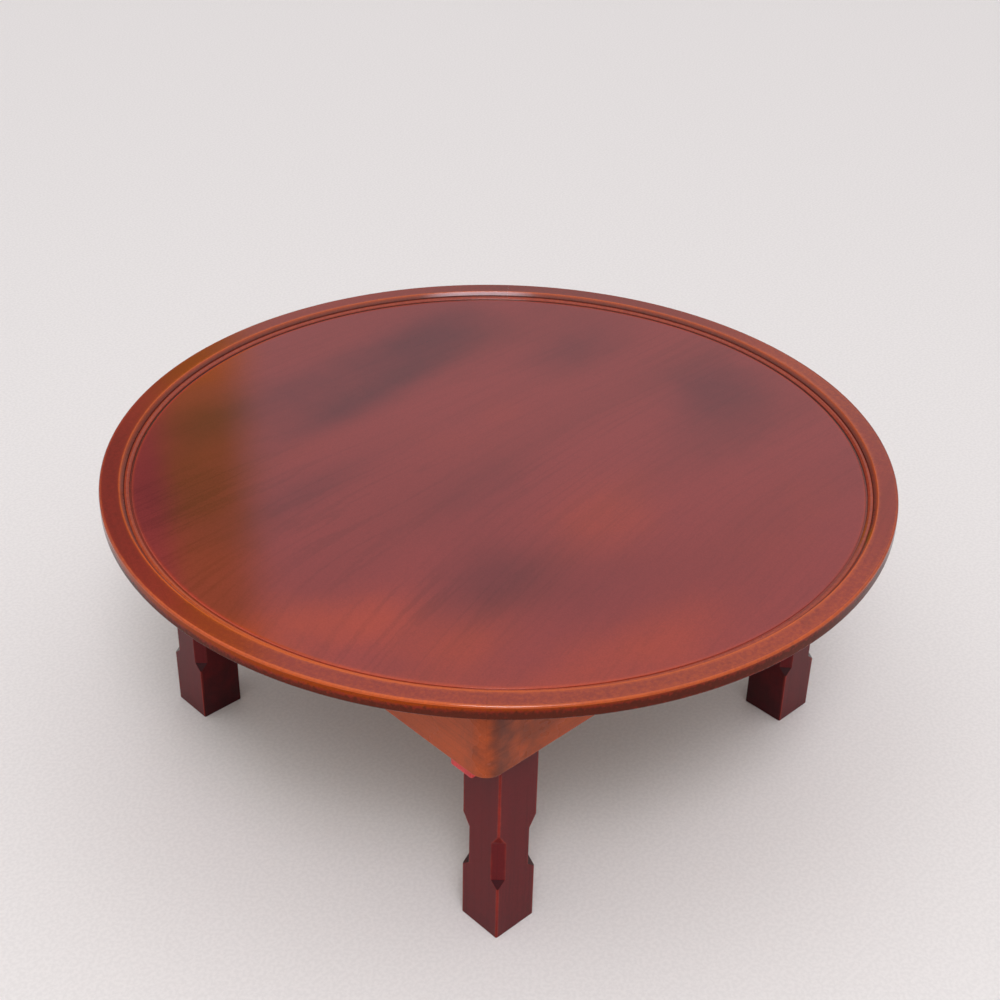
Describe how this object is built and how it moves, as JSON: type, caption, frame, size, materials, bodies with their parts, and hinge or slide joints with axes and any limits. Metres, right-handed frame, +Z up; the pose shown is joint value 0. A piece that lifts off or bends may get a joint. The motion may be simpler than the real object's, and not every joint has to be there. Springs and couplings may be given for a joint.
{
  "type": "low tray table",
  "caption": "Round lacquered low table with a raised moulded rim, a square apron and notched square legs that fold flat under the top.",
  "frame": {"origin": "on the floor under the middle of the round top", "axes": "+Z up; X and Y along the apron boards, so the corner that faces the viewer in the picture is at -X, -Y"},
  "size_m": [0.8, 0.8, 0.324],
  "materials": {
    "panel_lacquer": "translucent red-brown gloss lacquer over veneer, faint dark grain",
    "rim_lacquer": "red-brown gloss lacquer, worn orange on the edges",
    "apron_lacquer": "orange-brown gloss lacquer",
    "batten_wood": "bare softwood",
    "leg_lacquer": "dark wine-red gloss lacquer, brighter red on the edges",
    "stop_paint": "bright red paint",
    "bracket_steel": "zinc plated pressed sheet",
    "pin_steel": "plain steel rivet",
    "spring_steel": "blued spring steel",
    "screw_steel": "yellow zinc plated"
  },
  "bodies": {
    "table": {"top_panel": "panel_lacquer", "rim_segment_1": "rim_lacquer", "rim_segment_2": "rim_lacquer", "rim_segment_3": "rim_lacquer", "rim_segment_4": "rim_lacquer", "rim_segment_5": "rim_lacquer", "rim_segment_6": "rim_lacquer", "rim_segment_7": "rim_lacquer", "rim_segment_8": "rim_lacquer", "apron_front": "apron_lacquer", "apron_batten_front": "batten_wood", "apron_right": "apron_lacquer", "apron_batten_right": "batten_wood", "apron_back": "apron_lacquer", "apron_batten_back": "batten_wood", "apron_left": "apron_lacquer", "apron_batten_left": "batten_wood", "leg_stop_front_left": "stop_paint", "hinge_bracket_front_left": "bracket_steel", "hinge_pin_front_left": "pin_steel", "leaf_spring_front_left": "spring_steel", "bracket_screw_front_left_1": "screw_steel", "bracket_screw_front_left_2": "screw_steel", "bracket_screw_front_left_3": "screw_steel", "bracket_screw_front_left_4": "screw_steel", "leg_stop_front_right": "stop_paint", "hinge_bracket_front_right": "bracket_steel", "hinge_pin_front_right": "pin_steel", "leaf_spring_front_right": "spring_steel", "bracket_screw_front_right_1": "screw_steel", "bracket_screw_front_right_2": "screw_steel", "bracket_screw_front_right_3": "screw_steel", "bracket_screw_front_right_4": "screw_steel", "leg_stop_back_right": "stop_paint", "hinge_bracket_back_right": "bracket_steel", "hinge_pin_back_right": "pin_steel", "leaf_spring_back_right": "spring_steel", "bracket_screw_back_right_1": "screw_steel", "bracket_screw_back_right_2": "screw_steel", "bracket_screw_back_right_3": "screw_steel", "bracket_screw_back_right_4": "screw_steel", "leg_stop_back_left": "stop_paint", "hinge_bracket_back_left": "bracket_steel", "hinge_pin_back_left": "pin_steel", "leaf_spring_back_left": "spring_steel", "bracket_screw_back_left_1": "screw_steel", "bracket_screw_back_left_2": "screw_steel", "bracket_screw_back_left_3": "screw_steel", "bracket_screw_back_left_4": "screw_steel"},
    "leg_front_left": {"leg_front_left": "leg_lacquer"},
    "leg_front_right": {"leg_front_right": "leg_lacquer"},
    "leg_back_right": {"leg_back_right": "leg_lacquer"},
    "leg_back_left": {"leg_back_left": "leg_lacquer"}
  },
  "joints": [
    {"name": "leg_fold_front_left", "type": "hinge", "parent": "table", "child": "leg_front_left", "pos_m": [-0.21605, -0.23325, 0.28315], "axis": [0, -1, 0], "range_deg": [0, 90], "deforming": ["leaf_spring_front_left"]},
    {"name": "leg_fold_front_right", "type": "hinge", "parent": "table", "child": "leg_front_right", "pos_m": [0.23325, -0.21605, 0.28315], "axis": [1, 0, 0], "range_deg": [0, 90], "deforming": ["leaf_spring_front_right"]},
    {"name": "leg_fold_back_right", "type": "hinge", "parent": "table", "child": "leg_back_right", "pos_m": [0.21605, 0.23325, 0.28315], "axis": [0, 1, 0], "range_deg": [0, 90], "deforming": ["leaf_spring_back_right"]},
    {"name": "leg_fold_back_left", "type": "hinge", "parent": "table", "child": "leg_back_left", "pos_m": [-0.23325, 0.21605, 0.28315], "axis": [-1, 0, 0], "range_deg": [0, 90], "deforming": ["leaf_spring_back_left"]}
  ]
}
